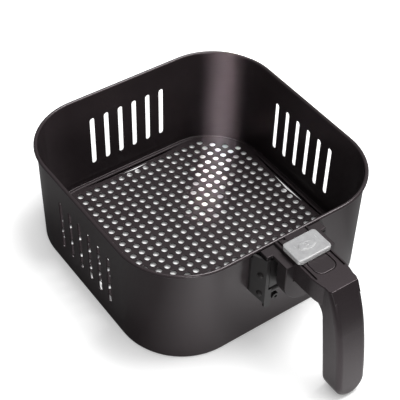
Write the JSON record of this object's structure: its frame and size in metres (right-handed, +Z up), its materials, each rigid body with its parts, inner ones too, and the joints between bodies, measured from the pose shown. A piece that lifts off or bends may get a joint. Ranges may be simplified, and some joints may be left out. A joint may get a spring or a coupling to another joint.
{
  "type": "air fryer basket",
  "caption": "Rounded square frying basket of coated sheet steel, with a perforated floor, side vents and a latching handle whose release button has a sliding guard.",
  "frame": {"origin": "centre of the basket's base plane, the surface it stands on", "axes": "+Z up, the handle points along -Y, +X to the right of someone who faces the handle's side and looks along +Y"},
  "size_m": [0.22, 0.3067, 0.106],
  "materials": {
    "coated_steel": "semi-gloss non-stick coating",
    "bracket_steel": "satin black coating",
    "bare_steel": "bright zinc",
    "rivet_steel": "dull",
    "handle_plastic": "fine satin grain",
    "collar_plastic": "satin",
    "button_plastic": "satin",
    "clear_plastic": "milky clear",
    "spring_steel": "drawn wire"
  },
  "bodies": {
    "basket": {"basket_wall": "coated_steel", "basket_floor": "coated_steel", "wall_bracket": "bracket_steel", "bracket_rivets": "rivet_steel", "bracket_posts": "rivet_steel", "cross_pins": "rivet_steel", "pin_sleeve": "bare_steel", "handle_stay": "bracket_steel", "collar": "collar_plastic", "collar_screws": "bare_steel", "handle_front_shell": "handle_plastic", "handle_rear_shell": "handle_plastic", "grip_screws": "bare_steel", "head_screws": "bare_steel", "guard_stop": "collar_plastic", "lever_pin": "bare_steel", "return_spring": "spring_steel"},
    "button": {"release_button": "button_plastic"},
    "guard": {"button_guard": "clear_plastic"},
    "latch": {"latch_lever": "bare_steel"}
  },
  "joints": [
    {"name": "latch_turn", "type": "hinge", "parent": "basket", "child": "latch", "pos_m": [0, -0.1352, 0.0895], "axis": [1, 0, 0], "range_deg": [0, 13], "stiffness_Nm_per_rad": 0.12, "springref_deg": -8.59, "deforming": ["return_spring"]},
    {"name": "button_press", "type": "slide", "parent": "basket", "child": "button", "axis": [0, 0, -1], "range_m": [0, 0.0026]},
    {"name": "guard_slide", "type": "slide", "parent": "basket", "child": "guard", "axis": [0, -1, 0], "range_m": [0, 0.016]}
  ],
  "couplings": [
    {"joint": "latch_turn", "follows": "button_press", "rad_per_m": 87.2}
  ]
}
